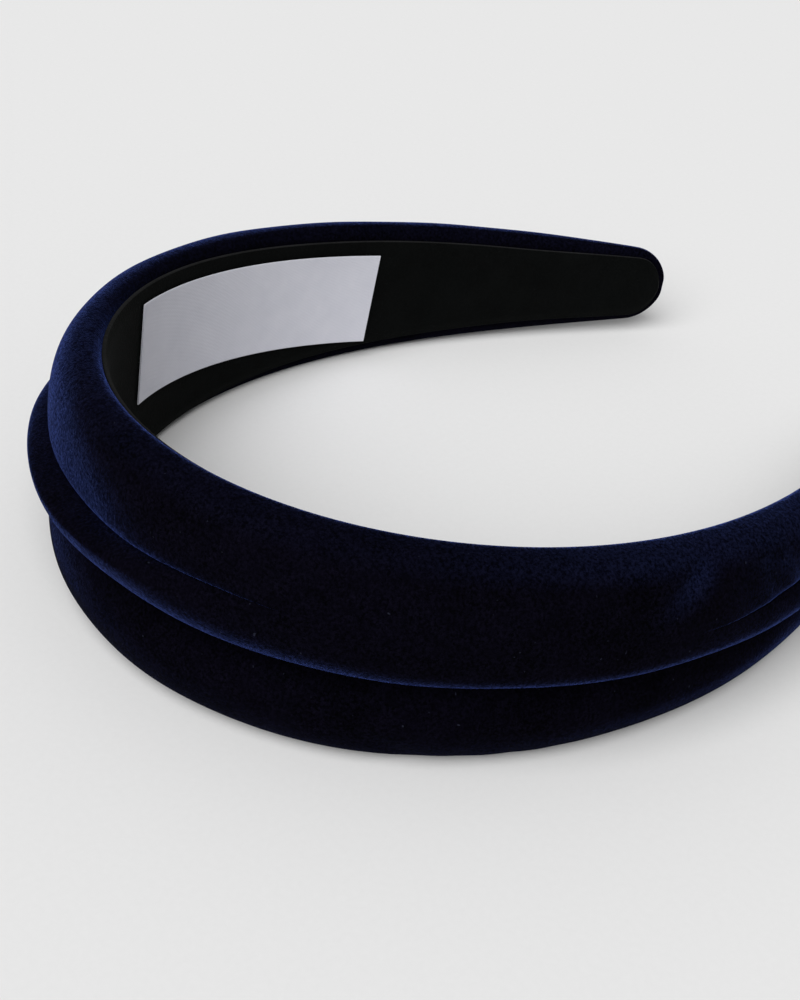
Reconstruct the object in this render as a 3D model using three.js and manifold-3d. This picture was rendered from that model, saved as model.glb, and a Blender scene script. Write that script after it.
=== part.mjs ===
// Padded velvet headband with three soft lengthwise folds, lying on its lower edge.
// Millimetres, +Z up. The band is symmetric about x = 0, its crown points to -Y and its
// two tips to +Y. z = 0 is the surface that it lies on.
//
// Each layer is a cross-section swept along the same plan curve. In a cross-section, "out"
// is the distance outward from the face that touches the head, and "up" is the distance
// above the band's middle line.

import * as THREE from "three";
import { mergeVertices } from "three/addons/utils/BufferGeometryUtils.js";
import Module from "manifold-3d";

// ---- Plan curve -----------------------------------------------------------------------
const HALF_LENGTH = 188; // from the middle of the crown to a tip, along the inner face
const CROWN_RADIUS = 50; // radius of the inner face at the crown
const STRAIGHT_SHARE = 0.93; // the arms are straight here, and flare out a little beyond
const STRAIGHTENING = 1.34; // power of the curvature's fall from the crown
const LYING_TILT = THREE.MathUtils.degToRad(3.35); // arms lean down, so that they rest too

// ---- Widths ---------------------------------------------------------------------------
const LINING_WIDTH_CROWN = 38.2;
const LINING_WIDTH_TIP = 12.8;
const LINING_TAPER = 1.66; // power of the taper from the crown to a tip
const VELVET_BORDER_CROWN = 1.6; // velvet showing past each edge of the lining
const VELVET_BORDER_TIP = 1.5;
const ARM_BORDER = 1.2; // more velvet shows along the arms, where the lining is narrower
const ARM_FROM = [50, 110]; // along the band, where the lining turns narrower
const ARM_TO = 150; // and where it starts to return to the tip's border
const BLUNT_TIP_SHARE = 0.62; // half width at the very end, over the tip's half width

// ---- Thicknesses, outward from the head ------------------------------------------------
const TOP_FOLD_CROWN = 9.8;
const MIDDLE_FOLD_CROWN = 13.3;
const BOTTOM_FOLD_CROWN = 10;
const TIP_THICKNESS = 4.3;
const MIDDLE_FOLD_PROUD = 0.05; // the middle fold stands this far out even at a tip
const THICKNESS_TAPER = 6; // power of the taper: full nearly to the tips
const LINING = 0.8;
const ADHESIVE = 0.5;
const VELVET = 0.8;
const CORE_CROWN = 1.8;
const CORE_TIP = 1.1;
const LABEL = 0.3;
const GAP = 0.3; // clearance between layers that touch
const CLOSE_GAP = 0.1; // least clearance where a crease reaches the core

// ---- Folds ----------------------------------------------------------------------------
const UPPER_CREASE = 0.35; // height of the crease, over the half width
const LOWER_CREASE = -0.064;
const CREASE_FLOOR_UPPER = 0.74; // how far out the crease's bottom lies, over the fold
const CREASE_FLOOR_LOWER = 0.45;
const MIDDLE_ROUNDNESS = 2.2; // superellipse power of a fold's outline
// An edge fold's crest lies a share of the way from the crease to the edge, and its outline
// is widest a share of the way out.
const TOP_SHAPE = { crest: 0.2, widest: 0.26, roundness: 2.3 };
const BOTTOM_SHAPE = { crest: 0.5, widest: 0.29, roundness: 1.8 };
const INNER_CORNER = 3; // height of the rounding where the velvet turns in
const CORNER_SHARE = 0.28; // the rounding's most, over the half width
const TURN_IN = 5.5; // velvet glued under the lining, at each edge
const TURN_IN_CLEAR = 1.2; // least distance from the turned-in end to the crease
const TURN_IN_LEAST = 1; // least distance from the turned-in end to the middle line

// ---- Small parts ----------------------------------------------------------------------
const STRIP_END = 1.2; // the core and the lining stop this far short of a tip
const CORE_CHAMFER = 0.5;
const LINING_CHAMFER = 0.15;
const ADHESIVE_CHAMFER = 0.1;
const LABEL_CHAMFER = 0.05;
const FOAM_LEAST = 0.6; // least thickness of the foam
const FOAM_SIDE = 0.5; // straight side of the foam, next to the core
const FOAM_END = 20; // the foam stops this far short of a tip
const CORE_HOLE_RADIUS = 1.6; // moulding hole near each tip of the core
const CORE_HOLE_FROM_TIP = 11;
const CORE_HOLE_PIN = 12; // length of the pin that cuts the hole
const LABEL_MIDDLE = -84; // along the inner face, on the arm at negative x
const LABEL_LENGTH = 66;
const LABEL_WIDTH = 20;
const LABEL_UP = 2.2; // the label's middle lies this far above the band's middle line
const LABEL_SLANT = Math.tan(THREE.MathUtils.degToRad(5.2)); // it follows the top edge

// ---- Sampling -------------------------------------------------------------------------
const SEGMENTS = 30; // stations along the band
const FOLD_STEPS = 4; // steps round each quarter of an edge fold
const CORNER_STEPS = 3; // steps round a corner, and round each quarter of the middle fold
const HOLE_SIDES = 16;
const TIP_STEPS = [0, 1, 3, 6]; // closer stations, measured back from each tip
const CURVE_STEP = 0.5; // step of the plan curve's integration
const LEAST_SPACING = 0.4; // stations closer than this are left out
const RESTING_FLAT = 0.35; // depth pressed flat where the velvet rests

const wasm = await Module();
wasm.setup();

// ---- Plan curve -----------------------------------------------------------------------

function curvature(along) {
  const share = along / HALF_LENGTH;
  return (1 - (share / STRAIGHT_SHARE) ** STRAIGHTENING) / CROWN_RADIUS;
}

// Points and headings of the inner face from the crown to the tip at positive x.
function integratePlan() {
  const points = [{ x: 0, y: 0, heading: 0 }];
  for (let along = 0; along < HALF_LENGTH; along += CURVE_STEP) {
    const last = points[points.length - 1];
    const middle = last.heading + (curvature(along + CURVE_STEP / 4) * CURVE_STEP) / 2;
    points.push({
      x: last.x + Math.cos(middle) * CURVE_STEP,
      y: last.y + Math.sin(middle) * CURVE_STEP,
      heading: last.heading + curvature(along + CURVE_STEP / 2) * CURVE_STEP,
    });
  }
  return points;
}

const planPoints = integratePlan();

// The inner face at a distance along the band, negative towards the tip at negative x.
function planAt(along) {
  const place = Math.min(Math.abs(along) / CURVE_STEP, planPoints.length - 1);
  const index = Math.min(Math.floor(place), planPoints.length - 2);
  const from = planPoints[index];
  const to = planPoints[index + 1];
  const share = place - index;
  const side = along < 0 ? -1 : 1;
  return {
    x: side * THREE.MathUtils.lerp(from.x, to.x, share),
    y: THREE.MathUtils.lerp(from.y, to.y, share),
    heading: side * THREE.MathUtils.lerp(from.heading, to.heading, share),
  };
}

// ---- Sizes along the band -------------------------------------------------------------

function taper(crown, tip, along, power) {
  const share = Math.abs(along) / HALF_LENGTH;
  return tip + (crown - tip) * (1 - share ** power);
}

// Share of the full width that the rounded, blunt end of the band has at a place.
function tipRounding(along) {
  const radius = LINING_WIDTH_TIP / 2 + VELVET_BORDER_TIP;
  const fromTip = HALF_LENGTH - Math.abs(along);
  if (fromTip >= radius) return 1;
  const reach = (1 - fromTip / radius) * Math.sqrt(1 - BLUNT_TIP_SHARE ** 2);
  return Math.sqrt(1 - reach ** 2);
}

function liningHalf(along) {
  const width = taper(LINING_WIDTH_CROWN, LINING_WIDTH_TIP, along, LINING_TAPER);
  return (width / 2) * tipRounding(along);
}

function bodyHalf(along) {
  const border = taper(VELVET_BORDER_CROWN, VELVET_BORDER_TIP, along, 2);
  return liningHalf(along) + border;
}

// Half width of the lining itself, which is cut narrower along the arms.
function liningEdge(along) {
  const reach = Math.abs(along);
  const { smoothstep } = THREE.MathUtils;
  const arm = smoothstep(reach, ...ARM_FROM) * (1 - smoothstep(reach, ARM_TO, HALF_LENGTH));
  return liningHalf(along) - ARM_BORDER * arm;
}

// Height of the rounding between the inner face and the velvet's edge.
function cornerHeight(along) {
  return Math.min(INNER_CORNER, bodyHalf(along) * CORNER_SHARE);
}

function foldThickness(crown, along) {
  return taper(crown, TIP_THICKNESS, along, THICKNESS_TAPER);
}

const TURN_IN_FACE = LINING + GAP; // where the turned-in velvet starts
const CORE_FACE = TURN_IN_FACE + VELVET + GAP;

function coreThickness(along) {
  return taper(CORE_CROWN, CORE_TIP, along, 2);
}

function coreBack(along) {
  return CORE_FACE + coreThickness(along);
}

// ---- Cross-sections: closed outlines of [out, up] points ----------------------------------

// A quarter of a superellipse about a centre, from its tip along "out" to its tip along
// "up". A negative radius mirrors the quarter. It may stop short, at an angle.
function quarter(centre, radius, steps, roundness, stop = Math.PI / 2) {
  const points = [];
  for (let step = 0; step <= steps; step += 1) {
    const angle = (step / steps) * stop;
    points.push([
      centre[0] + radius[0] * Math.cos(angle) ** (2 / roundness),
      centre[1] + radius[1] * Math.sin(angle) ** (2 / roundness),
    ]);
  }
  return points;
}

// Where an edge fold is widest, and how high its crest lies.
function edgeShape(along, crest, crease, shape) {
  return {
    widest: TURN_IN_FACE + (crest - TURN_IN_FACE) * shape.widest,
    crestUp: crease + (bodyHalf(along) - crease) * shape.crest,
  };
}

// The outline of an edge fold, from its turned-in end to the floor of the crease beside it.
// inset moves it inward by a cloth's thickness, apart from the floor, which is given as it
// is. up runs from the middle line to the fold's own edge.
function edgeFold(along, crest, crease, floor, inset, shape) {
  const half = bodyHalf(along);
  const { widest, crestUp } = edgeShape(along, crest, crease, shape);
  const corner = cornerHeight(along);
  const turnInEnd = Math.max(
    half - VELVET_BORDER_TIP - TURN_IN,
    crease + TURN_IN_CLEAR,
    TURN_IN_LEAST,
  );
  const inner = TURN_IN_FACE + inset;
  const front = crest - inset;
  const { roundness } = shape;
  const cornerCurve = quarter(
    [widest, half - corner],
    [inner - widest, corner - inset],
    CORNER_STEPS,
    MIDDLE_ROUNDNESS,
  );
  const outerRadius = [front - widest, half - inset - crestUp];
  const outerCurve = quarter([widest, crestUp], outerRadius, FOLD_STEPS, roundness);
  const creaseRadius = [front - floor, crease + inset - crestUp];
  const creaseCurve = quarter([floor, crestUp], creaseRadius, FOLD_STEPS, roundness);
  return [
    [inner, turnInEnd],
    ...cornerCurve,
    ...outerCurve.reverse().slice(1),
    ...creaseCurve.slice(1),
  ];
}

// The outline of the middle fold, from the upper crease down to the lower crease.
function middleFold(crest, creases, floors, inset) {
  const crestUp = (creases.upper + creases.lower) / 2;
  const upper = quarter(
    [floors.upper - inset, crestUp],
    [crest - floors.upper, creases.upper - inset - crestUp],
    CORNER_STEPS,
    MIDDLE_ROUNDNESS,
  );
  const lower = quarter(
    [floors.lower, crestUp],
    [crest - inset - floors.lower, creases.lower + inset - crestUp],
    CORNER_STEPS,
    MIDDLE_ROUNDNESS,
  );
  return [...upper.reverse(), ...lower.slice(1)];
}

function foldsAt(along) {
  const half = bodyHalf(along);
  const top = foldThickness(TOP_FOLD_CROWN, along);
  const middle = foldThickness(MIDDLE_FOLD_CROWN, along) + MIDDLE_FOLD_PROUD;
  const bottom = foldThickness(BOTTOM_FOLD_CROWN, along);
  const tuck = coreBack(along) + GAP;
  return {
    top,
    middle,
    bottom,
    tuck,
    creases: { upper: half * UPPER_CREASE, lower: half * LOWER_CREASE },
    floors: {
      upper: Math.max(top * CREASE_FLOOR_UPPER, tuck + VELVET),
      lower: Math.max(middle * CREASE_FLOOR_LOWER, tuck + CLOSE_GAP),
    },
  };
}

// The upper cover: turned in at the top edge, round the top fold, into the upper crease,
// round the middle fold and tucked under it down to the core.
function upperCoverSection(along) {
  const { top, middle, creases, floors, tuck } = foldsAt(along);
  const side = (inset) => [
    ...edgeFold(along, top, creases.upper, floors.upper - inset, inset, TOP_SHAPE),
    ...middleFold(middle, creases, floors, inset),
    [tuck, creases.lower + inset],
  ];
  return [...side(0), ...side(VELVET).reverse()];
}

// The lower cover: tucked under the middle fold, round the bottom fold and turned in at the
// bottom edge. It is the edge fold upside down.
function lowerCoverSection(along) {
  const { bottom, creases, tuck } = foldsAt(along);
  const floor = Math.max(bottom * CREASE_FLOOR_LOWER, tuck + CLOSE_GAP);
  const crease = GAP - creases.lower;
  const side = (inset) => {
    const fold = edgeFold(along, bottom, crease, floor, inset, BOTTOM_SHAPE);
    const upsideDown = fold.map(([out, up]) => [out, -up]);
    return [...upsideDown, [tuck, -(crease + inset)]];
  };
  return [...side(0), ...side(VELVET).reverse()];
}

// Foam of the middle fold: a flat back on the core and a domed front inside the cover.
function middleFoam(along) {
  const { middle, creases } = foldsAt(along);
  const clear = VELVET + GAP;
  const back = coreBack(along) + GAP;
  const front = Math.max(middle - clear, back + FOAM_LEAST);
  const side = back + FOAM_SIDE;
  const low = creases.lower + clear;
  const high = creases.upper - clear;
  const centre = [side, (low + high) / 2];
  const rise = (high - low) / 2;
  const upper = quarter(centre, [front - side, rise], CORNER_STEPS, MIDDLE_ROUNDNESS);
  const lower = quarter(centre, [front - side, -rise], CORNER_STEPS, MIDDLE_ROUNDNESS);
  return [[back, low], ...lower.reverse(), ...upper.slice(1), [back, high]];
}

// Foam of an edge fold: it follows the cover's inside, and stops at the core. up runs towards
// the fold's own edge.
function edgeFoam(along, crest, crease, shape) {
  const { widest, crestUp } = edgeShape(along, crest, crease, shape);
  const { roundness } = shape;
  const clear = VELVET + GAP;
  const back = coreBack(along) + GAP;
  const side = back + FOAM_SIDE;
  const front = Math.max(crest - clear, back + FOAM_LEAST);
  const low = crease + clear;
  const stop = Math.acos(((side - widest) / (front - widest)) ** (roundness / 2));
  const outerRadius = [front - widest, bodyHalf(along) - clear - GAP - crestUp];
  const outer = quarter([widest, crestUp], outerRadius, FOLD_STEPS, roundness, stop);
  const underRadius = [front - side, low - crestUp];
  const under = quarter([side, crestUp], underRadius, CORNER_STEPS, roundness);
  const edge = outer[outer.length - 1][1];
  return [[back, low], ...under.reverse(), ...outer.slice(1), [back, edge]];
}

// A flat strip with chamfered long edges.
function stripSection(face, thickness, half, chamfer) {
  const back = face + thickness;
  return [
    [face, chamfer - half],
    [face + thickness / 2, -half],
    [back, chamfer - half],
    [back, half - chamfer],
    [face + thickness / 2, half],
    [face, half - chamfer],
  ];
}

// ---- Sweeps ---------------------------------------------------------------------------

function stations(from, to) {
  const places = new Set([from, to]);
  for (let index = 0; index <= SEGMENTS; index += 1) {
    places.add(-HALF_LENGTH + (2 * HALF_LENGTH * index) / SEGMENTS);
  }
  for (const step of TIP_STEPS) {
    places.add(HALF_LENGTH - step);
    places.add(step - HALF_LENGTH);
  }
  const inside = [...places].filter((place) => place >= from && place <= to);
  return inside
    .sort((a, b) => a - b)
    .filter((place, i, all) => i === 0 || place - all[i - 1] > LEAST_SPACING);
}

// The point at a distance along the band, outward from its inner face and above its middle.
function pointAt(along, out, up) {
  const { x, y, heading } = planAt(along);
  return [x + Math.sin(heading) * out, y - Math.cos(heading) * out, up];
}

// A closed body: the section at each station, joined up, with a flat cap at each end. A cap
// zips the outline's first half to its second half, so the outline folds back on itself.
// A point of a section may give a third value, which shifts it along the band.
function sweep(section, from, to) {
  const places = stations(from, to);
  places[places.length - 1] = to;
  const rings = places.map((along) =>
    section(along).map(([out, up, shift = 0]) => pointAt(along + shift, out, up)),
  );
  const count = rings[0].length;
  const positions = new Float32Array(rings.flat(2));
  const faces = [];
  for (let ring = 0; ring < rings.length - 1; ring += 1) {
    for (let point = 0; point < count; point += 1) {
      const a = ring * count + point;
      const b = ring * count + ((point + 1) % count);
      faces.push(a, b, a + count, b, b + count, a + count);
    }
  }
  const addCap = (offset, flip) => {
    for (let point = 0; 2 * point < count - 2; point += 1) {
      const near = offset + point;
      const far = offset + count - 1 - point;
      const cap = [near, near + 1, far, near + 1, far - 1, far];
      if (near + 1 === far - 1) cap.length = 3;
      faces.push(...(flip ? cap.reverse() : cap));
    }
  };
  addCap(0, true);
  addCap((rings.length - 1) * count, false);
  const geometry = new THREE.BufferGeometry();
  geometry.setAttribute("position", new THREE.BufferAttribute(positions, 3));
  geometry.setIndex(faces);
  return facingOut(geometry);
}

// Turns a closed body's faces outward, whichever way its section ran.
function facingOut(geometry) {
  const position = geometry.getAttribute("position");
  const index = geometry.getIndex().array;
  const [a, b, c] = [new THREE.Vector3(), new THREE.Vector3(), new THREE.Vector3()];
  let volume = 0;
  for (let face = 0; face < index.length; face += 3) {
    a.fromBufferAttribute(position, index[face]);
    b.fromBufferAttribute(position, index[face + 1]);
    c.fromBufferAttribute(position, index[face + 2]);
    volume += a.dot(b.cross(c));
  }
  if (volume < 0) geometry.setIndex([...index].reverse());
  return geometry;
}

// ---- Booleans -------------------------------------------------------------------------

function toSolid(geometry) {
  const bare = geometry.clone();
  bare.deleteAttribute("normal");
  bare.deleteAttribute("uv");
  const merged = mergeVertices(bare.index ? bare : bare.toNonIndexed(), 1e-4);
  return new wasm.Manifold(
    new wasm.Mesh({
      numProp: 3,
      vertProperties: new Float32Array(merged.getAttribute("position").array),
      triVerts: new Uint32Array(merged.getIndex().array),
    }),
  );
}

function fromSolid(solid) {
  const mesh = solid.getMesh();
  const geometry = new THREE.BufferGeometry();
  geometry.setAttribute("position", new THREE.BufferAttribute(mesh.vertProperties, 3));
  geometry.setIndex(new THREE.BufferAttribute(mesh.triVerts, 1));
  return geometry;
}

// ---- Lying pose -----------------------------------------------------------------------

const lean = new THREE.Matrix4().makeRotationX(-LYING_TILT);

function extentOf(geometries) {
  const box = new THREE.Box3();
  for (const geometry of geometries) {
    geometry.computeBoundingBox();
    box.union(geometry.boundingBox);
  }
  return box;
}

// ---- Sub-parts ------------------------------------------------------------------------

function coreBand() {
  const half = (along) => bodyHalf(along) - cornerHeight(along);
  const section = (along) =>
    stripSection(CORE_FACE, coreThickness(along), half(along), CORE_CHAMFER);
  const band = toSolid(sweep(section, STRIP_END - HALF_LENGTH, HALF_LENGTH - STRIP_END));
  const holes = [-1, 1].map((side) => {
    const plan = planAt(side * (HALF_LENGTH - CORE_HOLE_FROM_TIP));
    const radius = CORE_HOLE_RADIUS;
    const pin = new THREE.CylinderGeometry(radius, radius, CORE_HOLE_PIN, HOLE_SIDES);
    pin.rotateZ(plan.heading);
    pin.translate(plan.x, plan.y, 0);
    return toSolid(pin);
  });
  return fromSolid(holes.reduce((solid, hole) => solid.subtract(hole), band));
}

const foamSections = {
  top(along) {
    const { top, creases } = foldsAt(along);
    return edgeFoam(along, top, creases.upper, TOP_SHAPE);
  },
  middle: middleFoam,
  bottom(along) {
    const { bottom, creases } = foldsAt(along);
    const outline = edgeFoam(along, bottom, GAP - creases.lower, BOTTOM_SHAPE);
    return outline.map(([out, up]) => [out, -up]);
  },
};

function foamPad(fold) {
  return sweep(foamSections[fold], FOAM_END - HALF_LENGTH, HALF_LENGTH - FOAM_END);
}

function adhesiveStrip() {
  const clearOfVelvet = VELVET_BORDER_TIP + TURN_IN + 2 * GAP;
  const half = (along) => Math.max(bodyHalf(along) - clearOfVelvet, TURN_IN_LEAST - GAP);
  const face = LINING + GAP;
  const section = (along) => stripSection(face, ADHESIVE, half(along), ADHESIVE_CHAMFER);
  return sweep(section, FOAM_END - HALF_LENGTH, HALF_LENGTH - FOAM_END);
}

function liningStrip() {
  const section = (along) => stripSection(0, LINING, liningEdge(along), LINING_CHAMFER);
  return sweep(section, STRIP_END - HALF_LENGTH, HALF_LENGTH - STRIP_END);
}

// The label is a rectangle, turned a little on the lining's face.
function label() {
  const outline = stripSection(-GAP - LABEL, LABEL, LABEL_WIDTH / 2, LABEL_CHAMFER);
  const section = (along) => {
    const middle = LABEL_UP + (along - LABEL_MIDDLE) * LABEL_SLANT;
    return outline.map(([out, up]) => [out, middle + up, -up * LABEL_SLANT]);
  };
  const reach = LABEL_LENGTH / 2;
  return sweep(section, LABEL_MIDDLE - reach, LABEL_MIDDLE + reach);
}

// Cuts a lying piece off at the resting surface, so that it has real flat faces there.
function pressFlat(geometry, extent) {
  const size = extent.getSize(new THREE.Vector3());
  const table = new THREE.BoxGeometry(size.x * 2, size.y * 2, size.z);
  const centre = extent.getCenter(new THREE.Vector3());
  table.translate(centre.x, centre.y, -size.z / 2);
  return fromSolid(toSolid(geometry).subtract(toSolid(table)));
}

const colours = {
  navyVelvet: { color: 0x0b1030, roughness: 0.95, metalness: 0 },
  foam: { color: 0xd8d2c0, roughness: 0.9, metalness: 0 },
  plastic: { color: 0x1a1a1c, roughness: 0.45, metalness: 0 },
  adhesive: { color: 0xc9c4b4, roughness: 0.6, metalness: 0 },
  blackSuede: { color: 0x0c0d0b, roughness: 1, metalness: 0 },
  satin: { color: 0xc4c7d2, roughness: 0.5, metalness: 0 },
};

const tipToTip = [-HALF_LENGTH, HALF_LENGTH];
const pieces = {
  core_band: [coreBand(), colours.plastic],
  foam_pad_top: [foamPad("top"), colours.foam],
  foam_pad_middle: [foamPad("middle"), colours.foam],
  foam_pad_bottom: [foamPad("bottom"), colours.foam],
  velvet_cover_upper: [sweep(upperCoverSection, ...tipToTip), colours.navyVelvet],
  velvet_cover_lower: [sweep(lowerCoverSection, ...tipToTip), colours.navyVelvet],
  lining_adhesive_strip: [adhesiveStrip(), colours.adhesive],
  suede_lining: [liningStrip(), colours.blackSuede],
  blank_label: [label(), colours.satin],
};

const geometries = Object.values(pieces).map(([geometry]) => geometry);
for (const geometry of geometries) geometry.applyMatrix4(lean);
const lying = extentOf(geometries);
const centreY = (lying.min.y + lying.max.y) / 2;
for (const geometry of geometries) {
  geometry.translate(0, -centreY, -lying.min.z - RESTING_FLAT);
}
pieces.velvet_cover_lower[0] = pressFlat(pieces.velvet_cover_lower[0], extentOf(geometries));

const headband = new THREE.Group();
for (const [name, [geometry, look]] of Object.entries(pieces)) {
  const mesh = new THREE.Mesh(geometry, new THREE.MeshStandardMaterial(look));
  mesh.name = name;
  headband.add(mesh);
}

export default headband;
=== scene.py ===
# Padded velvet headband with three soft lengthwise folds, lying on its lower edge.
# Sizes are in millimetres, in the same words as the CAD source, and MM turns them into metres.
# "along" runs from the crown to the tips, "out" away from the head, "up" above the middle line.
# A pair of places is the start and end of a soft step between two shapes or looks.
import math

import bpy
import numpy as np
from mathutils import Euler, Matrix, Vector


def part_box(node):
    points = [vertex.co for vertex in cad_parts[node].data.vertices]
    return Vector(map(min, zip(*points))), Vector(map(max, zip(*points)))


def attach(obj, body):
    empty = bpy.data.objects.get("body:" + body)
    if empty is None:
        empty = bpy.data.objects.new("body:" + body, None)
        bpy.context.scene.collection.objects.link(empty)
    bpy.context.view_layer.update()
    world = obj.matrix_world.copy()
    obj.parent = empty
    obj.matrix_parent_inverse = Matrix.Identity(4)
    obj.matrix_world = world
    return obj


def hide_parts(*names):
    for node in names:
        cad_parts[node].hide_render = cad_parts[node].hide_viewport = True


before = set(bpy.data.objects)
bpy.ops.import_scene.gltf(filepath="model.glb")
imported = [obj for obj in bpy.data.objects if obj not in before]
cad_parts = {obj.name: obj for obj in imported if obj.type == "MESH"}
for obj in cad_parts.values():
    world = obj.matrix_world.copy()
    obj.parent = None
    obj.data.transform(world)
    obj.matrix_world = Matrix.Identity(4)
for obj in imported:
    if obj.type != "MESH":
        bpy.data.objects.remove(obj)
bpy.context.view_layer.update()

MM = 0.001

# ---- Plan curve and widths ---------------------------------------------------------------
HALF_LENGTH = 188
PLAN_STEP = 0.25
CROWN_RADIUS = 50
STRAIGHT_SHARE = 0.93  # the curve has become straight here, as a share of the half length
STRAIGHTENING = 1.34  # how late it does so: 1 is evenly along the band
LYING_TILT = math.radians(3.35)
LINING_WIDTH = (38.2, 12.8)  # at the crown and at a tip
LINING_TAPER = 1.66
BORDER = (1.6, 1.5)  # the velvet that shows past the lining, at the crown and at a tip
BORDER_TAPER = 2
ARM_BORDER = 1.2  # how much narrower the lining is cut at each edge of an arm
ARM_FROM = (50, 110)
ARM_TO = 150
TIP_ROUNDNESS = 2.2  # power of the round ends: 2 is a circle
CORNER_PLACES = 800  # places where origin_shift looks for the lining's lowest corner

# ---- Thicknesses -------------------------------------------------------------------------
TOP_FOLD = 9.8
MIDDLE_FOLD = 13.35
BOTTOM_FOLD = 10
TIP_THICKNESS = 4.3
THICKNESS_TAPER = 6
LINING = 0.8
VELVET = 0.8
CORE = (1.8, 1.1)  # at the crown and at a tip
CORE_TAPER = 2
LABEL = 0.3
GAP = 0.3  # between neighbouring pieces
TUCK_GAP = 0.1  # least depth of a tuck behind a crease's floor
TURN_IN_FACE = LINING + GAP
CORE_FACE = TURN_IN_FACE + VELVET + GAP

# ---- Turned-in edges ---------------------------------------------------------------------
TURN_IN = 5.5  # how far the velvet runs in behind the lining
TURN_IN_CLEAR = 1.2  # its least height over the crease, and over the middle line
TURN_IN_LEAST = 1
INNER_CORNER = 3  # height of the rounded corner, and its most as a share of the half width
CORNER_SHARE = 0.28
CORNER_ROUNDNESS = 2.2
CLOSING = (8, 3.5)  # distances from a tip between which the covers' turned-in ends meet
TIP_NOSE = 1.0  # length of the last, thinning stretch at a tip
TIP_LEAST = 0.02  # share of the width and thickness that is left at the very tip
END_CLEAR = 0.02

# ---- Creases, and where along the band they change ---------------------------------------
UPPER_CREASE = 0.37  # height over the half width, as are the sag and the climb
LOWER_CREASE = -0.064
UPPER_FLOOR = 0.62  # distance out of the crease's floor, over the fold's thickness
LOWER_FLOOR = 0.45
CREASE_FADES = (-8, 36)
CREASE_RETURNS = (84, 122)
CREASE_ENDS = (140, 182)
RETURNED_DEPTH = 0.5  # depth of the crease where it returns, over its full depth
CREASE_TURNS = (-8, 32)
CREASE_SAG = 0.15
SAG_ENDS = (-90, -40)
CREASE_CLIMB = 0.10
CLIMB_ENDS = (50, 85)
LIP_BROADENS = (-60, -15)
LIP_SHARPENS = (25, 70)
LIP_DROP = 0.9  # how much lower the crease lies under the broad lip

# ---- Shape of the folds ------------------------------------------------------------------
TOP_SHAPE = (0.2, 0.26, 2.3)  # crest over crease to edge, widest over thickness, roundness
BOTTOM_SHAPE = (0.5, 0.29, 1.8)
MIDDLE_CREST = (0.42, 0.3)  # height over crease to crease, and more where the lip is broad
MIDDLE_ROUNDNESS = 2.1
MIDDLE_LIP_ROUNDNESS = (2.9, -0.9)  # and less where the lip is broad
MERGED_CREST = (4.2, 2.4)  # height over the lower crease, and more at the broad lip
MERGED_WIDEST = 0.3
MERGED_TOP_ROUNDNESS = 1.9
MERGED_LIP_ROUNDNESS = (2.4, -0.4)
OUTER_POINTS = 24
UNDER_POINTS = 20
CORNER_POINTS = 12

# ---- Dents in the pile, and painted highlights on it -------------------------------------
MARK_ALONG = 86.5
MARK_UP = 14.2
MARK_SLANT = 1.15
MARK_SIZE = (3.0, 3.2)  # along and up
MARK_DEPTH = 0.7
MARK_SHARE = 0.75  # how pale its painted highlight is, from 0 to 1, as are the patches and the edge
# the patches and the edge band are painted highlights too: a mottled lit patch on one arm, a lit
# band under the top edge
PATCH_FROM = (90, 108)
PATCH_TO = (135, 160)
PATCH_UP = (7, 13)
PATCH_SHARE = 0.5
EDGE_BAND = (3.5, 0.5)  # distances below the edge between which the band of painted highlight begins
EDGE_ARM = (40, 90)
EDGE_SHARE = (0.1, 0.4)  # at the crown, and more along the arm
DENTED_ALONG = (104, 9)  # middle and width of the dented stretch
DENTED_UP = (2, 9)
DENT_DEPTH = 0.12
SLOW_DEPTH = 0.1
DENTED_OUT = (2, 6)  # the dents start this far out, past the turned-in edges
LOWER_DENT_SHIFT = 40
LOWER_DENT_SHARE = 0.6
DENT_WAVE = (0.9, 0.5, 0)  # radians a millimetre along and up, and at the start
CROSSING_WAVE = (0.37, -0.8, 0)
SLOW_WAVES = ((0.11, 0, 1.3), (0.23, 0.31, 0))
MOTTLE_MEAN = 0.55

# ---- Spacing of the cross-sections -------------------------------------------------------
VELVET_SPACING = (1.0, 10)  # in the middle, and the finer stretch before each end
FOAM_SPACING = (2.0, 3)
LINING_SPACING = (1.0, 9)
END_STATIONS = 24
LABEL_STATIONS = 67
LINING_POINTS = 64
LABEL_POINTS = 40
SHARP_EDGE = math.radians(40)

# ---- Foam, label and lining --------------------------------------------------------------
FOAM_END = 20
FOAM_SLACK = 0.9  # room for the velvet's dents
FOAM_LEAST = 0.6  # least thickness of the foam
FOAM_ROUNDNESS = 2.2
FOAM_POINTS = 15
FOAM_BACK_STEP = 0.05  # the flat back lies this far behind the dome's foot
LABEL_MIDDLE = -84
LABEL_LENGTH = 66
LABEL_WIDTH = 20
LABEL_UP = 2.2
LABEL_SLANT = math.tan(math.radians(5.2))
LABEL_CORNER = 0.12
LINING_CORNER = 0.35
LINING_INSET = 1.6  # the lining stops this far short of the velvet at a tip
LINING_TIP_LEAST = 0.03
CORNER_TO_TIP = 1.2  # the lining's lowest corner is no nearer to a tip than this
DIMPLE_FROM_TIP = 11
DIMPLE_RADIUS = 2.6
DIMPLE_FLOOR = 0.4  # the flat middle of the dimple, over its radius
DIMPLE_DEPTH = 0.35
EDGE_PRESS = 0.45  # the lining's edges sink this far into the velvet
EDGE_PRESS_WIDTH = 2.2
CUT_EDGE_POINTS = 3  # outline points from an edge that get the cut edge's material
CUT_EDGE_LENGTH = 0.3


def smooth(low, high, value):
    """0 below low, 1 above high, and a soft step between."""
    share = np.clip((value - low) / (high - low), 0, 1)
    return share * share * (3 - 2 * share)


def hump(centre, width, value):
    """1 at the centre, and falling to 0 on both sides."""
    return np.exp(-(((value - centre) / width) ** 2))


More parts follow.
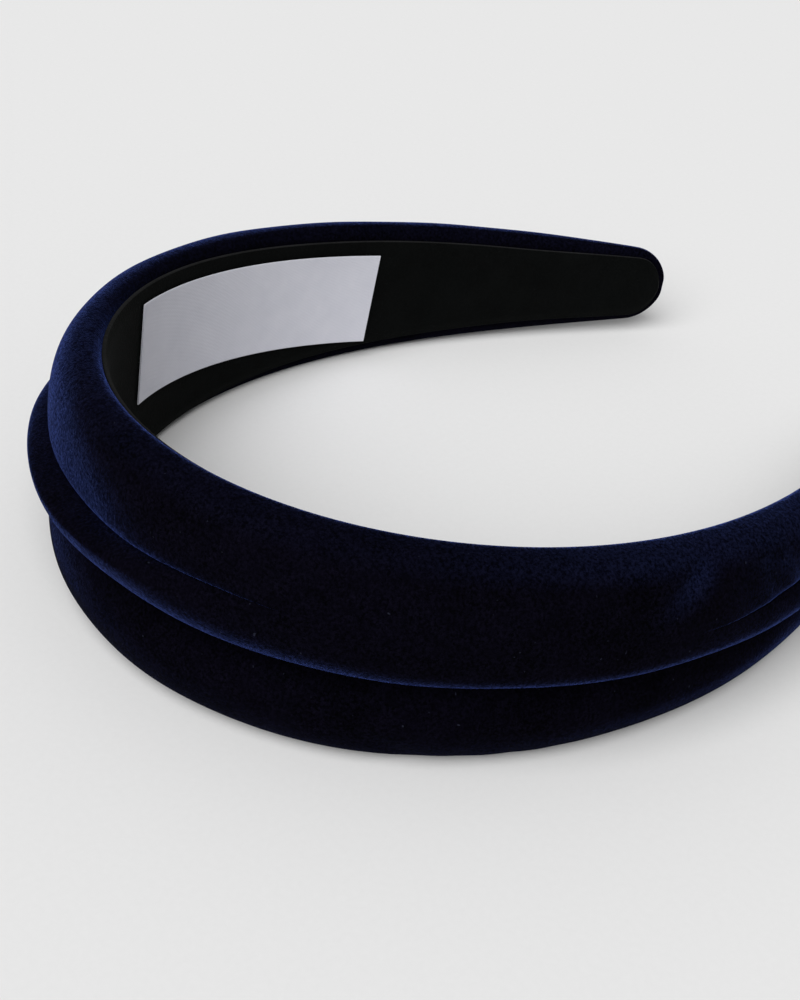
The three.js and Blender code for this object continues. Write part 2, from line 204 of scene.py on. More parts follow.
def wave(along, up, rates):
    """A wave over the band's face, from -1 to 1."""
    along_rate, up_rate, start = rates
    return np.sin(along * along_rate + up * up_rate + start)


# ---- Plan curve --------------------------------------------------------------------------


def plan_table():
    """Distance, x, y and heading of the inner face from the crown to a tip."""
    along = np.arange(0, HALF_LENGTH + PLAN_STEP, PLAN_STEP)
    curvature = (1 - (along / HALF_LENGTH / STRAIGHT_SHARE) ** STRAIGHTENING) / CROWN_RADIUS
    heading = np.concatenate([[0], np.cumsum((curvature[1:] + curvature[:-1]) / 2 * PLAN_STEP)])
    middle = (heading[1:] + heading[:-1]) / 2
    x = np.concatenate([[0], np.cumsum(np.cos(middle) * PLAN_STEP)])
    y = np.concatenate([[0], np.cumsum(np.sin(middle) * PLAN_STEP)])
    return along, x, y, heading


PLAN = plan_table()


def plan_at(along):
    distance, x, y, heading = PLAN
    side = np.where(along < 0, -1.0, 1.0)
    reach = np.abs(along)
    return (
        side * np.interp(reach, distance, x),
        np.interp(reach, distance, y),
        side * np.interp(reach, distance, heading),
    )


def lying(along, out, up):
    """Points of the lying band, before it is moved to the frame's origin."""
    x, y, heading = plan_at(along)
    side = x + np.sin(heading) * out
    depth = y - np.cos(heading) * out
    cosine, sine = math.cos(LYING_TILT), math.sin(LYING_TILT)
    height = up + 0 * side
    return np.stack([side, depth * cosine + height * sine, height * cosine - depth * sine], axis=-1)


# ---- Sizes along the band ----------------------------------------------------------------


def taper(ends, along, power):
    crown, tip = ends
    return tip + (crown - tip) * (1 - np.abs(along / HALF_LENGTH) ** power)


def tip_rounding(along, margin=0.0):
    """Share of the full width near a tip, which is round in plan."""
    radius = LINING_WIDTH[1] / 2 + BORDER[1] - margin
    from_tip = HALF_LENGTH - margin - np.abs(along)
    reach = np.clip(1 - from_tip / radius, 0, 1)
    return np.sqrt(np.clip(1 - reach**TIP_ROUNDNESS, 0, 1))


def lining_half(along):
    return taper(LINING_WIDTH, along, LINING_TAPER) / 2


def lining_edge(along):
    """Half width of the lining itself, which is cut narrower along the arms."""
    reach = np.abs(along)
    arm = smooth(*ARM_FROM, reach) * (1 - smooth(ARM_TO, HALF_LENGTH, reach))
    return lining_half(along) - ARM_BORDER * arm


def body_half(along):
    return lining_half(along) + taper(BORDER, along, BORDER_TAPER)


def corner_height(along):
    return np.minimum(INNER_CORNER, body_half(along) * CORNER_SHARE)


def fold_thickness(crown, along):
    return taper((crown, TIP_THICKNESS), along, THICKNESS_TAPER)


def core_back(along):
    return CORE_FACE + taper(CORE, along, CORE_TAPER)


# ---- Cross-sections ----------------------------------------------------------------------


def upper_crease_depth(along):
    """How deep the crease between the top and middle folds is, from 0 to 1."""
    left = 1 - smooth(*CREASE_FADES, along)
    right = RETURNED_DEPTH * smooth(*CREASE_RETURNS, along)
    ends = 1 - smooth(*CREASE_ENDS, np.abs(along))
    return np.maximum(left, right) * ends


def upper_crease_height(along):
    """Height of that crease: it sags on the crown's left, then climbs until it fades away."""
    turn = smooth(*CREASE_TURNS, along)
    sag = CREASE_SAG * smooth(*SAG_ENDS, along) * (1 - turn)
    climb = CREASE_CLIMB * turn * (1 - smooth(*CLIMB_ENDS, along))
    return body_half(along) * (UPPER_CREASE - sag + climb)


def lip_roundness(along):
    """How broad the middle fold's lower lip is: 1 where it rolls under, 0 where it is sharp."""
    return (1 - smooth(*LIP_SHARPENS, along)) * smooth(*LIP_BROADENS, along)


def lower_crease_height(along):
    """Height of the crease that the middle fold laps over, lower under the broad lip."""
    return body_half(along) * LOWER_CREASE - LIP_DROP * lip_roundness(along)


def with_lip(shape, broad):
    """A value that grows or falls by its second part where the lip is broad."""
    plain, change = shape
    return plain + change * broad


def arc(centre, reach, roundness, count):
    """Quarter of a superellipse, from centre + (reach out, 0) to centre + (0, reach up)."""
    angle = np.linspace(0, math.pi / 2, count)
    power = 2 / roundness
    out = centre[0] + reach[0] * np.cos(angle) ** power
    up = centre[1] + reach[1] * np.sin(angle) ** power
    return np.stack(np.broadcast_arrays(out, up), axis=-1)


def edge_roll(along, crest, crease, floor, inset, shape):
    """The two arcs of a fold at the band's edge: over its crest, and down into the crease."""
    half = body_half(along)
    crest_share, widest_share, roundness = shape
    widest = TURN_IN_FACE + (crest - TURN_IN_FACE) * widest_share
    crest_up = crease + (half - crease) * crest_share
    over = (crest - inset - widest, half - inset - crest_up)
    down = (crest - inset - floor, crease + inset - crest_up)
    outer = arc((widest, crest_up), over, roundness, OUTER_POINTS)[:, ::-1]
    under = arc((floor, crest_up), down, roundness, UNDER_POINTS)
    return widest, outer, under


def edge_fold(along, crest, crease, floor, inset, shape, meet):
    """Outline of a fold at the band's edge, from its turned-in end to the crease's floor.

    Near the tips the turned-in end runs on to the height where the two covers meet.
    """
    half = body_half(along)
    corner = corner_height(along)
    widest, outer, under = edge_roll(along, crest, crease, floor, inset, shape)
    inner = TURN_IN_FACE + inset + 0 * half
    end = np.maximum(half - BORDER[1] - TURN_IN, crease + TURN_IN_CLEAR)
    closing = smooth(*CLOSING, HALF_LENGTH - np.abs(along))
    end = np.maximum(end, TURN_IN_LEAST) * (1 - closing) + meet * closing
    turned_in = np.stack([inner, end], axis=-1)
    reach = (inner - widest, corner - inset)
    inner_corner = arc((widest, half - corner), reach, CORNER_ROUNDNESS, CORNER_POINTS)
    return np.concatenate([turned_in, inner_corner, outer[:, 1:], under[:, 1:]], axis=1)


def merged_out(up, along, crest, crest_up, low, floor, inset, roundness):
    """Distance out of the broad single roll that the two upper folds make where they merge."""
    half = body_half(along) - inset
    widest = TURN_IN_FACE + (crest - TURN_IN_FACE) * MERGED_WIDEST
    rise = np.clip((up - crest_up) / (half - crest_up), 0, 1)
    fall = np.clip((crest_up - up) / (crest_up - low), 0, 1)
    top = MERGED_TOP_ROUNDNESS
    above = widest + (crest - inset - widest) * (1 - rise**top) ** (1 / top)
    below = floor + (crest - inset - floor) * (1 - fall**roundness) ** (1 / roundness)
    return np.where(up > crest_up, above, below)


def finger_mark(along, up):
    """A short slanting mark across the top fold of one arm."""
    length, height = MARK_SIZE
    across = (along - MARK_ALONG) - (up - MARK_UP) * MARK_SLANT
    return hump(0, length, across) * hump(MARK_UP, height, up)


def painted_highlights(along, up):
    """Painted highlights on the velvet, from 0 to 1: a lit streak along a dent, a mottled lit patch
    on one arm and a lit band under the top edge.
    """
    waves = wave(along, up, DENT_WAVE) * wave(along, up, CROSSING_WAVE)
    mottle = MOTTLE_MEAN + (1 - MOTTLE_MEAN) * waves
    stretch = smooth(*PATCH_FROM, along) * (1 - smooth(*PATCH_TO, along))
    patch = PATCH_SHARE * (stretch * smooth(*PATCH_UP, up)) * mottle
    low, high = (body_half(along) - distance for distance in EDGE_BAND)
    crown, arm = EDGE_SHARE
    edge = smooth(low, high, up) * (crown + arm * smooth(*EDGE_ARM, along))
    mark = MARK_SHARE * finger_mark(along, up)
    return np.maximum(np.maximum(mark, patch), edge)


def dents(along, up):
    """Shallow dents and slow unevenness of the stuffed velvet."""
    dented = hump(*DENTED_ALONG, along) * wave(along, up, DENT_WAVE) * smooth(*DENTED_UP, up)
    slow = sum(wave(along, up, rates) for rates in SLOW_WAVES)
    return -MARK_DEPTH * finger_mark(along, up) - DENT_DEPTH * dented - SLOW_DEPTH * slow


def upper_side(along, inset):
    """The upper cover's outline: round the top fold, into the crease and round the middle fold.

    The two rolls blend into one broad roll where the crease between them fades away.
    """
    top = fold_thickness(TOP_FOLD, along)
    middle = fold_thickness(MIDDLE_FOLD, along)
    tuck = core_back(along) + GAP
    crease, low = upper_crease_height(along), lower_crease_height(along)
    floor = np.maximum(top * UPPER_FLOOR, tuck + VELVET)
    lower_floor = np.maximum(middle * LOWER_FLOOR, tuck + TUCK_GAP)
    broad = lip_roundness(along)
    crest_up = low + (crease - low) * with_lip(MIDDLE_CREST, broad)
    rise = (middle - floor, crease - inset - crest_up)
    upper = arc((floor - inset, crest_up), rise, MIDDLE_ROUNDNESS, UNDER_POINTS)
    drop = (middle - inset - lower_floor, low + inset - crest_up)
    lower = arc((lower_floor, crest_up), drop, with_lip(MIDDLE_LIP_ROUNDNESS, broad), UNDER_POINTS)
    folds = [
        edge_fold(along, top, crease, floor - inset, inset, TOP_SHAPE, low),
        upper[:, ::-1],
        lower[:, 1:],
    ]
    points = np.concatenate(folds, axis=1)
    out, up = points[..., 0], points[..., 1]
    depth = upper_crease_depth(along)
    merged_crest = low + with_lip(MERGED_CREST, broad)
    roundness = with_lip(MERGED_LIP_ROUNDNESS, broad)
    merged = merged_out(up, along, middle, merged_crest, low, lower_floor, inset, roundness)
    turned_in = CORNER_POINTS + 2
    blend = 1 - (1 - depth) * (np.arange(out.shape[1]) >= turned_in)
    out = out * blend + merged * (1 - blend)
    out = out + smooth(*DENTED_OUT, out) * dents(along, up)
    end = np.stack([tuck, low + inset], axis=-1)
    return np.concatenate([np.stack([out, up], axis=-1), end], axis=1)


def lower_side(along, inset):
    """The lower cover's outline: the bottom fold, an edge fold upside down."""
    bottom = fold_thickness(BOTTOM_FOLD, along)
    tuck = core_back(along) + GAP
    low = lower_crease_height(along)
    floor = np.maximum(bottom * LOWER_FLOOR, tuck + TUCK_GAP)
    crease = GAP - low
    fold = edge_fold(along, bottom, crease, floor, inset, BOTTOM_SHAPE, crease)
    uneven = smooth(*DENTED_OUT, fold[..., 0]) * dents(along + LOWER_DENT_SHIFT, fold[..., 1])
    fold[..., 0] += uneven * LOWER_DENT_SHARE
    end = np.stack([tuck, crease + inset], axis=-1)
    return np.concatenate([fold, end], axis=1) * np.array([1, -1])


def shell(side, along):
    """Closed outline of a cloth: its outer side and then its inner side, backwards."""
    return np.concatenate([side(along, 0), side(along, VELVET)[:, ::-1]], axis=1)


def flat_backed(along, dome):
    """Foam: a dome that stops at the core, and a flat back along it."""
    back = core_back(along) + GAP
    dome = np.stack([np.maximum(dome[..., 0], back), dome[..., 1]], axis=-1)
    first, last = dome[:, :1, 1], dome[:, -1:, 1]
    behind = back - FOAM_BACK_STEP
    start = np.concatenate([behind, first], axis=1)[:, None]
    end = np.concatenate([behind, last], axis=1)[:, None]
    return np.concatenate([start, dome, end], axis=1)


def middle_foam(along):
    clear = VELVET + GAP
    low = lower_crease_height(along) + clear
    high = upper_crease_height(along) - clear
    back = core_back(along) + GAP
    front = fold_thickness(MIDDLE_FOLD, along) - clear - FOAM_SLACK
    front = np.maximum(front, back + FOAM_LEAST)
    centre = (back, (low + high) / 2)
    upper = arc(centre, (front - back, (high - low) / 2), FOAM_ROUNDNESS, FOAM_POINTS)[:, ::-1]
    lower = arc(centre, (front - back, (low - high) / 2), FOAM_ROUNDNESS, FOAM_POINTS)
    return flat_backed(along, np.concatenate([upper, lower[:, 1:]], axis=1))


def edge_foam(along, crest, crease, shape):
    back = core_back(along) + GAP
    height = fold_thickness(crest, along) - FOAM_SLACK
    rolled = np.maximum(height, back + VELVET + GAP + FOAM_LEAST)
    _, outer, under = edge_roll(along, rolled, crease, back, VELVET + 2 * GAP, shape)
    return flat_backed(along, np.concatenate([outer, under[:, 1:]], axis=1))


def top_foam(along):
    return edge_foam(along, TOP_FOLD, upper_crease_height(along), TOP_SHAPE)


def bottom_foam(along):
    crease = GAP - lower_crease_height(along)
    return edge_foam(along, BOTTOM_FOLD, crease, BOTTOM_SHAPE) * np.array([1, -1])


# ---- Meshes ------------------------------------------------------------------------------


def stations(end, spacing, fine_end):
    """Places from -end to end, closer together in the last stretch before each of them."""
    start = -end
    middle = np.arange(start + fine_end, end - fine_end, spacing)
    fine = fine_end * (1 - np.cos(np.linspace(0, math.pi / 2, END_STATIONS)))
    places = np.concatenate([start + fine, middle[1:], (end - fine)[::-1]])
    return places[:, None]


def close_ends(points, along):
    """Rounds the band's tips: narrower in plan, and thinner over the last stretch."""
    from_tip = HALF_LENGTH - np.abs(along)
    thin = np.sqrt(np.clip(1 - np.clip(1 - from_tip / TIP_NOSE, 0, 1) ** 2, TIP_LEAST**2, 1))
    middle = TIP_THICKNESS / 2
    out = middle + (points[..., 0] - middle) * thin
    up = points[..., 1] * np.maximum(tip_rounding(along), TIP_LEAST)
    return np.stack([out, up], axis=-1)


def origin_shift():
    """From the lying band's place to the CAD frame: the lining's lowest corner shows it."""
    end = HALF_LENGTH - CORNER_TO_TIP
    along = np.linspace(-end, end, CORNER_PLACES)
    half = lining_edge(along)
    edge = np.concatenate([lying(along, 0 * along, half), lying(along, LINING + 0 * along, -half)])
    corner = np.array(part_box("suede_lining")[0]) / MM
    lowest = edge.min(axis=0)
    return np.array([0, corner[1] - lowest[1], corner[2] - lowest[2]])


SHIFT = origin_shift()


def mesh_from(name, vertices, faces):
    mesh = bpy.data.meshes.new(name)
    mesh.from_pydata((vertices * MM).tolist(), [], faces)
    mesh.validate()
    mesh.shade_smooth()
    mesh.set_sharp_from_angle(angle=SHARP_EDGE)
    piece = bpy.data.objects.new(name, mesh)
    bpy.context.scene.collection.objects.link(piece)
    return piece


def sweep(name, along, outline):
    """A closed body: the outline at each station, joined up, its ends zipped shut."""
    rings = lying(along, outline[..., 0], outline[..., 1]) + SHIFT
    count, size = rings.shape[0], rings.shape[1]
    start = np.arange(count - 1)[:, None] * size
    point = np.arange(size)[None]
    following = (point + 1) % size
    quads = [start + point, start + following, start + size + following, start + size + point]
    faces = np.stack(np.broadcast_arrays(*quads), axis=-1).reshape(-1, 4).tolist()
    for offset, step in ((0, -1), ((count - 1) * size, 1)):
        for index in range(size // 2 - 1):
            near, far = offset + index, offset + size - 1 - index
            faces.append([near, near + 1, far - 1, far][::step])
    piece = mesh_from(name, rings.reshape(-1, 3), faces)
    return facing_out(piece)


def facing_out(piece):
    """Turns the faces outward, whichever way the outline ran."""
    corners = np.array([vertex.co[:] for vertex in piece.data.vertices])
    volume = 0.0
    for face in piece.data.polygons:
        a, b, c = (corners[i] for i in face.vertices[:3])
        volume += float(np.dot(a, np.cross(b, c)))
    if volume < 0:
        piece.data.flip_normals()
    return piece


# ---- Camera and light --------------------------------------------------------------------
CAMERA_PLACE = (168.6, -162.65, 161.55)
CAMERA_TARGET = (-7.25, -12.05, 0)
CAMERA_LENS = 53.3  # on the sensor's width, which is below
CAMERA_SENSOR = 36
CAMERA_NEAR = 10
CAMERA_ROLL = math.radians(5.1)
ROOM_LIGHT = 0.32
KEY_LIGHT = 2.8
KEY_SPREAD = math.radians(60)
KEY_FROM = (0.30, -0.57, 0.77)  # the way to the key light, from the band
FLOOR_SIZE = 6000


def add_camera():
    """Above and in front of the crown, beside the near arm, looking down at the far arm."""
    data = bpy.data.cameras.new("camera")
    data.sensor_width = CAMERA_SENSOR
    data.lens = CAMERA_LENS
    data.clip_start = CAMERA_NEAR * MM
    camera = bpy.data.objects.new("camera", data)
    bpy.context.scene.collection.objects.link(camera)
    camera.location = Vector(CAMERA_PLACE) * MM
    direction = Vector(CAMERA_TARGET) * MM - camera.location
    turn = direction.to_track_quat("-Z", "Y")
    roll = Euler((0, 0, CAMERA_ROLL)).to_quaternion()
    camera.rotation_mode = "QUATERNION"
    camera.rotation_quaternion = turn @ roll
    bpy.context.scene.camera = camera


def light_studio():
    """A pale room, and one broad soft light high in front of the crown."""
    world = bpy.data.worlds.new("studio")
    world.use_nodes = True
    background = world.node_tree.nodes["Background"]
    background.inputs["Color"].default_value = (1, 1, 1, 1)
    background.inputs["Strength"].default_value = ROOM_LIGHT
    scene = bpy.context.scene
    scene.world = world
    scene.view_settings.view_transform = "Standard"
    data = bpy.data.lights.new("key", "SUN")
    data.energy = KEY_LIGHT
    data.angle = KEY_SPREAD
    key = bpy.data.objects.new("key", data)
    scene.collection.objects.link(key)
    key.rotation_euler = Vector(KEY_FROM).to_track_quat("Z", "Y").to_euler()


def add_floor():
    mesh = bpy.data.meshes.new("floor")
    half = FLOOR_SIZE * MM / 2
    corners = [(-half, -half, 0), (half, -half, 0), (half, half, 0), (-half, half, 0)]
    mesh.from_pydata(corners, [], [(0, 1, 2, 3)])
    floor = bpy.data.objects.new("floor", mesh)
    bpy.context.scene.collection.objects.link(floor)
    floor.data.materials.append(floor_material())


# ---- Materials: scales are in grains a metre, and bump distances in metres ----------------
PILE_GRAIN = 1900
PILE_PATCHES = 90
PILE_BLACK = (0.0001, 0.0001, 0.0003)
PILE_NAVY = (0.0045, 0.0038, 0.0098)
WORN_BLACK = (0.0004, 0.0003, 0.0008)
WORN_NAVY = (0.0018, 0.0015, 0.004)
# painted highlight: paler, bluer pile colours laid where the velvet catches the light
PAINTED_HIGHLIGHT_DARK = (0.001, 0.0015, 0.006)
PAINTED_HIGHLIGHT_BLUE = (0.0085, 0.0125, 0.043)
LINT = (0.03, 0.034, 0.055)
VELVET_SHEEN = (0.13, 0.22, 0.85, 1)
UNDER_GLOW = {"upper": 0.52, "lower": 0.04}  # sheen where each cover's folds turn under; the lower cover's is kept low as painted shade, for the shadow under the middle fold
PILE_LIE = (0.35, 0, 0.9)  # the pile lies away from this direction
RIGHT_RIM_DIMMING = 0.25  # how much less the rims glow on the band's right
RIM_GLOW = ((0.08, 0.0), (0.3, 0.1), (0.55, 0.36), (0.85, 0.9))  # place and sheen
SUEDE_SHEEN = (0.6, 0.65, 0.6, 1)


def new_material(name, roughness):
    material = bpy.data.materials.new(name)
    material.use_nodes = True
    shader = material.node_tree.nodes["Principled BSDF"]
    shader.inputs["Roughness"].default_value = roughness
    return material, shader


def add_node(material, kind, inputs=None, **settings):
    node = material.node_tree.nodes.new(kind)
    for key, value in settings.items():
        setattr(node, key, value)
    for key, value in (inputs or {}).items():
        node.inputs[key].default_value = value
    return node


def join(material, source, target):
    material.node_tree.links.new(source, target)


def noise(material, scale, detail=3.0, roughness=0.6):
    """Noise in the object's own space."""
    place = add_node(material, "ShaderNodeTexCoord")
    values = {"Scale": scale, "Detail": detail, "Roughness": roughness}
    texture = add_node(material, "ShaderNodeTexNoise", values)
    join(material, place.outputs["Object"], texture.inputs["Vector"])
    return texture.outputs["Fac"]


def grey(level):
    return (level, level, level)


def ramp(material, value, stops):
    """Colours along a value, as (place, colour) stops."""
    node = add_node(material, "ShaderNodeValToRGB")
    join(material, value, node.inputs["Fac"])
    elements = node.color_ramp.elements
    while len(elements) < len(stops):
        elements.new(0.5)
    for element, (place, colour) in zip(elements, stops):
        element.position = place
        element.color = (*colour, 1)
    return node.outputs["Color"]


def bump(material, shader, height, distance, strength=1.0):
    """Adds a height to the shader's normal, on top of any bump already there."""
    node = add_node(material, "ShaderNodeBump", {"Strength": strength, "Distance": distance})
    join(material, height, node.inputs["Height"])
    earlier = shader.inputs["Normal"].links
    if earlier:
        join(material, earlier[0].from_socket, node.inputs["Normal"])
    join(material, node.outputs["Normal"], shader.inputs["Normal"])


def mix_colours(material, factor, first, second):
    """A mix of two colours, each given as a colour or as another node's output."""
    node = add_node(material, "ShaderNodeMix", data_type="RGBA")
    join(material, factor, node.inputs["Factor"])
    colour_inputs = (6, 7)
    for socket, source in zip(colour_inputs, (first, second)):
        if isinstance(source, tuple):
            node.inputs[socket].default_value = (*source, 1)
        else:
            join(material, source, node.inputs[socket])
    return node.outputs[2]


def facing(material, direction):
    """How far the surface faces along a direction."""
    surface = add_node(material, "ShaderNodeNewGeometry")
    product = add_node(material, "ShaderNodeVectorMath", operation="DOT_PRODUCT")
    product.inputs[1].default_value = direction
    join(material, surface.outputs["Normal"], product.inputs[0])
    return product.outputs["Value"]


def nap_glow(material):
    """Where the pile that lies downward shows its sides: on surfaces that turn under."""
    values = {"From Min": 0.45, "From Max": -0.15, "To Min": 0.0, "To Max": 1.0}
    turn = add_node(material, "ShaderNodeMapRange", values, interpolation_type="SMOOTHSTEP")
    join(material, facing(material, PILE_LIE), turn.inputs["Value"])
    return turn.outputs["Result"]


def rim_glow(material):
    """Sheen that grows towards the rims, less on surfaces that face the band's right."""
    rim = add_node(material, "ShaderNodeLayerWeight", {"Blend": 0.5})
    lean = add_node(material, "ShaderNodeMath", {1: -RIGHT_RIM_DIMMING}, operation="MULTIPLY_ADD")
    join(material, facing(material, (1, 0, 0)), lean.inputs[0])
    join(material, rim.outputs["Facing"], lean.inputs[2])
    return ramp(material, lean.outputs[0], [(place, grey(share)) for place, share in RIM_GLOW])


def velvet_material(name, under_glow):
    """Short dense pile: nearly black seen straight on, navy where it is seen along its fibres."""
    material, shader = new_material(name, roughness=0.9)
    pile = noise(material, PILE_GRAIN, detail=5, roughness=0.75)
    patches = noise(material, PILE_PATCHES, detail=3)
    pile_colour = ramp(material, pile, [(0.4, PILE_BLACK), (0.64, PILE_NAVY)])
    worn = ramp(material, patches, [(0.35, WORN_BLACK), (0.7, WORN_NAVY)])
    half_way = ramp(material, noise(material, 400, detail=2), [(0.3, grey(0.3)), (0.7, grey(0.7))])
    colour = mix_colours(material, half_way, pile_colour, worn)
    specks = ramp(material, noise(material, 1500, detail=0), [(0.85, grey(0)), (0.9, grey(0.4))])
    colour = mix_colours(material, specks, colour, LINT)
    # painted highlights: the mesh attribute mixes a paler, bluer pile into the base colour
    highlight_marks = add_node(material, "ShaderNodeAttribute", attribute_name="painted_highlights")
    highlight_colour = ramp(material, pile, [(0.4, PAINTED_HIGHLIGHT_DARK), (0.62, PAINTED_HIGHLIGHT_BLUE)])
    colour = mix_colours(material, highlight_marks.outputs["Fac"], colour, highlight_colour)
    join(material, colour, shader.inputs["Base Color"])
    grain = ramp(material, pile, [(0.4, grey(0.2)), (0.6, grey(1))])
    # the lower cover's copy of this material has its under-fold sheen turned down as painted shade
    sheen = mix_colours(material, nap_glow(material), rim_glow(material), grey(under_glow))
    grainy = mix_colours(material, grain, grey(0), sheen)
    join(material, grainy, shader.inputs["Sheen Weight"])
    shader.inputs["Specular IOR Level"].default_value = 0.01
    shader.inputs["Sheen Roughness"].default_value = 0.3
    shader.inputs["Sheen Tint"].default_value = VELVET_SHEEN
    bump(material, shader, pile, distance=0.00025, strength=0.6)
    bump(material, shader, patches, distance=0.0012, strength=0.3)
    return material


def suede_material(name, dark, light):
    material, shader = new_material(name, roughness=0.95)
    nap = noise(material, 1800, detail=4)
    cloudy = noise(material, 120, detail=3)
    fine = ramp(material, nap, [(0.3, dark), (0.72, light)])
    broad = ramp(material, cloudy, [(0.3, dark), (0.75, light)])
    colour = mix_colours(material, noise(material, 300, detail=1), fine, broad)
    join(material, colour, shader.inputs["Base Color"])
    shader.inputs["Specular IOR Level"].default_value = 0.04
    shader.inputs["Sheen Weight"].default_value = 0.02
    shader.inputs["Sheen Roughness"].default_value = 0.5
    shader.inputs["Sheen Tint"].default_value = SUEDE_SHEEN
    bump(material, shader, nap, distance=0.0003, strength=0.5)
    return material


def satin_material():
    """Woven satin label: fine warp threads along the band and finer weft across them."""
    material, shader = new_material("satin_label", roughness=0.55)
    place = add_node(material, "ShaderNodeTexCoord")
    threads = []
    for direction, scale in (("Z", 900.0), ("DIAGONAL", 700.0)):
        values = {"Scale": scale, "Distortion": 0.4, "Detail": 1.0, "Detail Scale": 3.0}
        wave = add_node(material, "ShaderNodeTexWave", values, bands_direction=direction)
        join(material, place.outputs["Object"], wave.inputs["Vector"])
        threads.append(wave.outputs["Fac"])
    weave = ramp(material, threads[0], [(0.0, (0.57, 0.575, 0.65)), (1.0, (0.69, 0.69, 0.76))])
    uneven = noise(material, 150, detail=2)
    soft = ramp(material, uneven, [(0.3, (0.59, 0.595, 0.665)), (0.7, (0.67, 0.67, 0.735))])
    colour = mix_colours(material, noise(material, 500, detail=1), weave, soft)
    join(material, colour, shader.inputs["Base Color"])
    shader.inputs["Specular IOR Level"].default_value = 0.3
    shader.inputs["Sheen Weight"].default_value = 0.1
    bump(material, shader, threads[0], distance=0.00004, strength=0.5)
    bump(material, shader, threads[1], distance=0.00003, strength=0.4)
    return material


def foam_material():
    """Open-cell foam: pale, with small dark pores."""
    material, shader = new_material("foam", roughness=0.95)
    place = add_node(material, "ShaderNodeTexCoord")
    cells = add_node(material, "ShaderNodeTexVoronoi", {"Scale": 1400.0})
    join(material, place.outputs["Object"], cells.inputs["Vector"])
    wall = cells.outputs["Distance"]
    pores = ramp(material, wall, [(0.1, (0.45, 0.4, 0.3)), (0.6, (0.72, 0.67, 0.56))])
    join(material, pores, shader.inputs["Base Color"])
    bump(material, shader, wall, distance=0.0004, strength=0.8)
    return material


def speckled_material(name, dark, light, roughness, scale):
    """Moulded plastic or set glue: a faint mottle and a fine uneven surface."""
    material, shader = new_material(name, roughness)
    mottle = noise(material, scale, detail=4)
    join(material, ramp(material, mottle, [(0.3, dark), (0.7, light)]), shader.inputs["Base Color"])
    bump(material, shader, mottle, distance=0.0001, strength=0.4)
    return material


def floor_material():
    """Plain pale paper."""
    material, shader = new_material("floor_paper", roughness=0.9)
    grain = noise(material, 900, detail=2)
    paper = ramp(material, grain, [(0.2, grey(0.80)), (0.8, grey(0.82))])
    join(material, paper, shader.inputs["Base Color"])
    shader.inputs["Specular IOR Level"].default_value = 0.1
    return material


# ---- Pieces ------------------------------------------------------------------------------


def finish_piece(piece, slot, materials, *nodes):
    for material in materials:
        piece.data.materials.append(material)
    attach(piece, "root")
    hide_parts(*nodes)
    return piece


def velvet_covers():
    """The two cloths, each with its painted highlights kept as an attribute of its mesh."""
    along = stations(HALF_LENGTH - END_CLEAR, *VELVET_SPACING)
    for place, side in (("upper", upper_side), ("lower", lower_side)):
        name = f"velvet_cover_{place}"
        outline = close_ends(shell(side, along), along)
        piece = sweep(f"soft_{name}", along, outline)
        # the attribute carries the painted highlights
        highlight_marks = piece.data.attributes.new("painted_highlights", "FLOAT", "POINT")
        highlight_marks.data.foreach_set("value", painted_highlights(along, outline[..., 1]).ravel())
        material = velvet_material(f"{name}_pile", UNDER_GLOW[place])
        finish_piece(piece, "navy_velvet", [material], name)


def foam_pads():
    """One strip of foam under each fold."""
    material = foam_material()
    along = stations(HALF_LENGTH - FOAM_END, *FOAM_SPACING)
    for name, outline in (("top", top_foam), ("middle", middle_foam), ("bottom", bottom_foam)):
        piece = sweep(f"soft_foam_{name}", along, outline(along))
        finish_piece(piece, "foam", [material], f"foam_pad_{name}")


def strip_outline(half, face, thickness, corner, points):
    """A flat strip with rounded edges: its face, and its back, both from the top down."""
    share = np.cos(np.linspace(0, math.pi, points))
    across = half * share
    from_edge = np.clip((half - np.abs(across)) / corner, 0, 1)
    least = 0.1
    swell = np.sqrt(1 - (1 - from_edge) ** 2) * (1 - least) + least
    centre = face + thickness / 2
    front = np.stack([centre - swell * thickness / 2, across], axis=-1)
    back = np.stack([centre + swell * thickness / 2, across], axis=-1)
    return front, back


def mark_cut_edge(piece, along, size):
    """Gives the second material to a strip's long edges and its two ends."""
    half_size = size // 2
    places = along[:, 0]
    for index, face in enumerate(piece.data.polygons[: (len(places) - 1) * size]):
        station, point = divmod(index, size)
        from_edge = min(point % half_size, half_size - 1 - point % half_size)
        from_end = min(places[station] - places[0], places[-1] - places[station + 1])
        if from_edge < CUT_EDGE_POINTS or from_end < CUT_EDGE_LENGTH:
            face.material_index = 1


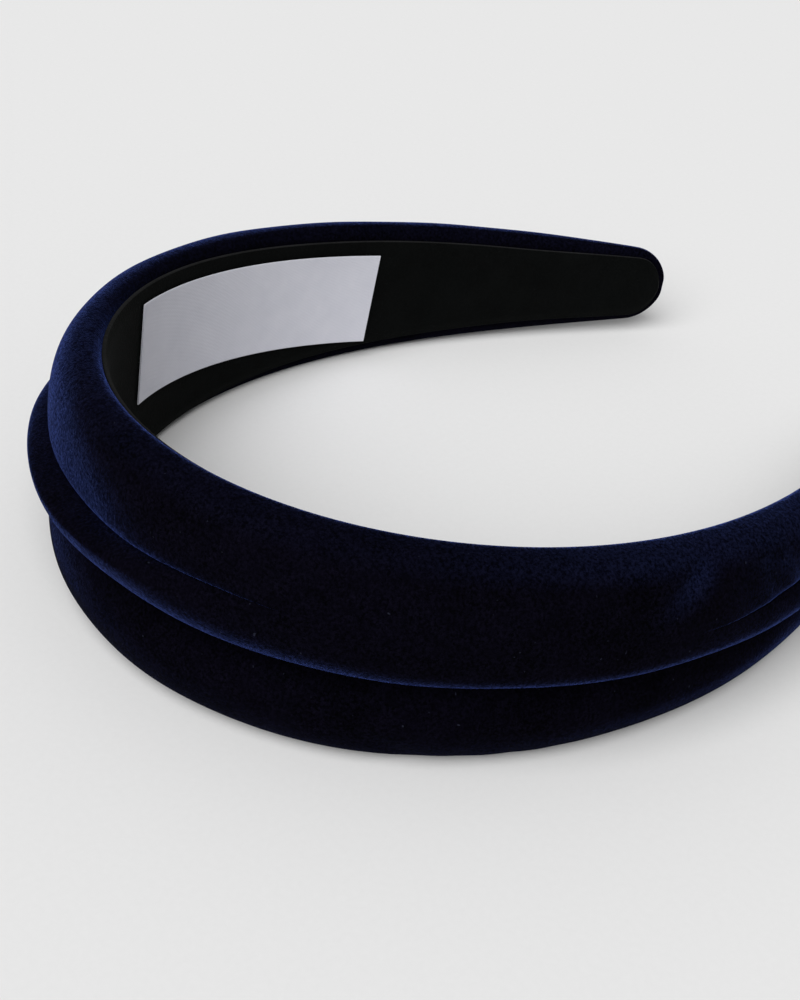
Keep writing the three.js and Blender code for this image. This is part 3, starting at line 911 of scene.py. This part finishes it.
def suede_lining():
    """Suede strip over the glued velvet edges, with a paler cut edge and a dimple near each tip."""
    end = HALF_LENGTH - LINING_INSET
    along = stations(end, *LINING_SPACING)
    half = lining_edge(along) * np.maximum(tip_rounding(along, LINING_INSET), LINING_TIP_LEAST)
    front, back = strip_outline(half, 0, LINING, LINING_CORNER, LINING_POINTS)
    pressed = EDGE_PRESS * (1 - smooth(0, EDGE_PRESS_WIDTH, half - np.abs(front[..., 1])))
    front[..., 0] += pressed
    back[..., 0] += pressed
    from_dimple = np.hypot(np.abs(along) - HALF_LENGTH + DIMPLE_FROM_TIP, front[..., 1])
    front[..., 0] += DIMPLE_DEPTH * (1 - smooth(DIMPLE_FLOOR, 1.0, from_dimple / DIMPLE_RADIUS))
    outline = np.concatenate([front, back[:, ::-1]], axis=1)
    piece = sweep("soft_suede_lining", along, outline)
    materials = [
        suede_material("black_suede", (0.0008, 0.0010, 0.0010), (0.0030, 0.0034, 0.0034)),
        suede_material("suede_cut_edge", (0.006, 0.006, 0.006), (0.018, 0.018, 0.019)),
    ]
    finish_piece(piece, "black_suede", materials, "suede_lining")
    mark_cut_edge(piece, along, outline.shape[1])


def blank_label():
    """Plain satin label glued to the lining a little slanted, with sharp corners and no print."""
    from_middle = np.linspace(-0.5, 0.5, LABEL_STATIONS)[:, None] * LABEL_LENGTH
    half = LABEL_WIDTH / 2 + 0 * from_middle
    front, back = strip_outline(half, -GAP - LABEL, LABEL, LABEL_CORNER, LABEL_POINTS)
    outline = np.concatenate([front, back[:, ::-1]], axis=1)
    across = outline[..., 1].copy()
    outline[..., 1] += LABEL_UP + from_middle * LABEL_SLANT
    piece = sweep("soft_blank_label", LABEL_MIDDLE + from_middle - across * LABEL_SLANT, outline)
    finish_piece(piece, "satin_label", [satin_material()], "blank_label")


def hidden_parts():
    """The moulded core and the glue film keep their CAD shapes and get better materials."""
    plastic = ((0.008, 0.008, 0.01), (0.016, 0.016, 0.018))
    glue = ((0.5, 0.46, 0.36), (0.66, 0.62, 0.5))
    looks = {
        "core_band": speckled_material("moulded_plastic", *plastic, roughness=0.5, scale=700),
        "lining_adhesive_strip": speckled_material("adhesive", *glue, roughness=0.45, scale=300),
    }
    for name, material in looks.items():
        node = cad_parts[name]
        node.data.materials.clear()
        node.data.materials.append(material)


def build():
    add_camera()
    velvet_covers()
    foam_pads()
    suede_lining()
    blank_label()
    hidden_parts()


build()
light_studio()
add_floor()
